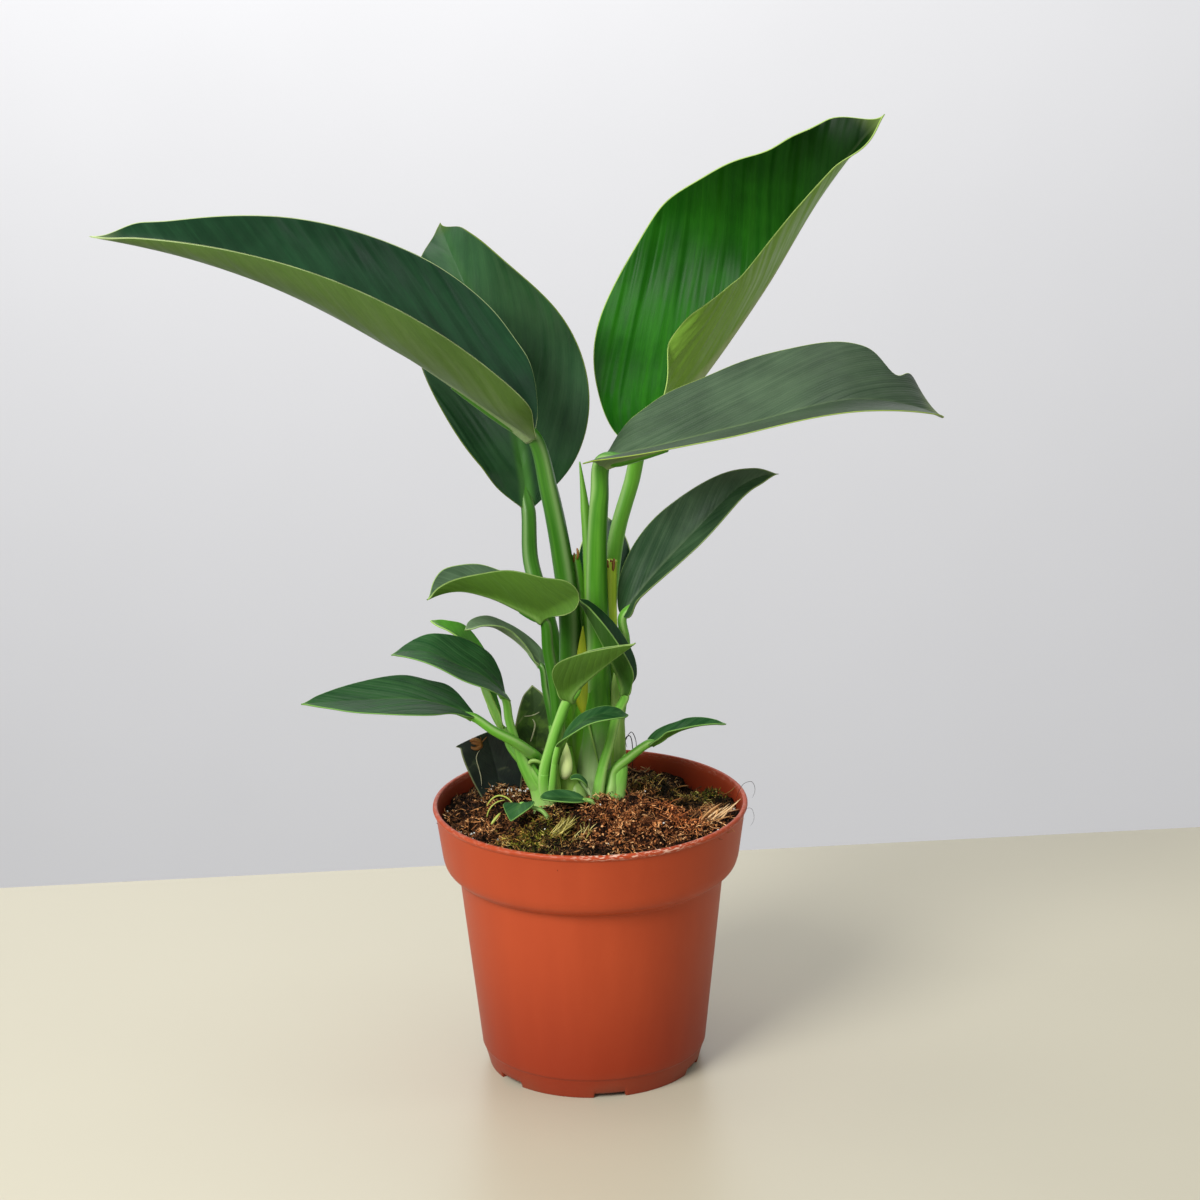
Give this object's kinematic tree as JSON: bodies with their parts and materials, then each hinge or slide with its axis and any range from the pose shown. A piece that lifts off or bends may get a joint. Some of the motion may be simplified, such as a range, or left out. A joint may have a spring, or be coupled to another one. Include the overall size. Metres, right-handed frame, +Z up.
{
  "type": "potted philodendron",
  "caption": "Young philodendron with broad glossy leaves on sheathing stalks, rooted in peat in a round plastic nursery pot.",
  "frame": {"origin": "bottom centre of the whole plant's bounding box, at the level of the surface that the pot stands on", "axes": "+Z up along the pot's axis, -Y toward the side that the picture shows, +X to that side's right"},
  "size_m": [0.2699, 0.1377, 0.3116],
  "materials": {
    "pot": "satin",
    "peat": "matte",
    "mature_leaf": "satin",
    "young_leaf": "satin",
    "stem": "satin",
    "old_leaf": "matte"
  },
  "bodies": {
    "root": {"pot": "pot", "soil": "peat", "leaf_long_left": "mature_leaf", "leaf_back": "mature_leaf", "leaf_low_right": "mature_leaf", "leaf_narrow_right": "mature_leaf", "leaf_small_behind": "mature_leaf", "leaf_left_upper": "mature_leaf", "leaf_left_lower": "mature_leaf", "leaf_curled": "mature_leaf", "leaf_crossing": "mature_leaf", "leaf_tiny_front": "mature_leaf", "leaf_sprig_right": "mature_leaf", "leaf_baby_oval": "mature_leaf", "leaf_baby_hook": "mature_leaf", "seedling_leaf": "mature_leaf", "leaf_tall_right": "young_leaf", "leaf_arched_front": "young_leaf", "leaf_young_twisted": "young_leaf", "leaf_facing_front": "young_leaf", "old_leaf_upright": "old_leaf", "old_leaf_torn": "old_leaf", "main_stem": "stem", "offshoot_left": "stem", "offshoot_right": "stem", "petiole_stub_left": "stem", "petiole_stub_right": "stem", "spear": "stem"}
  },
  "joints": []
}
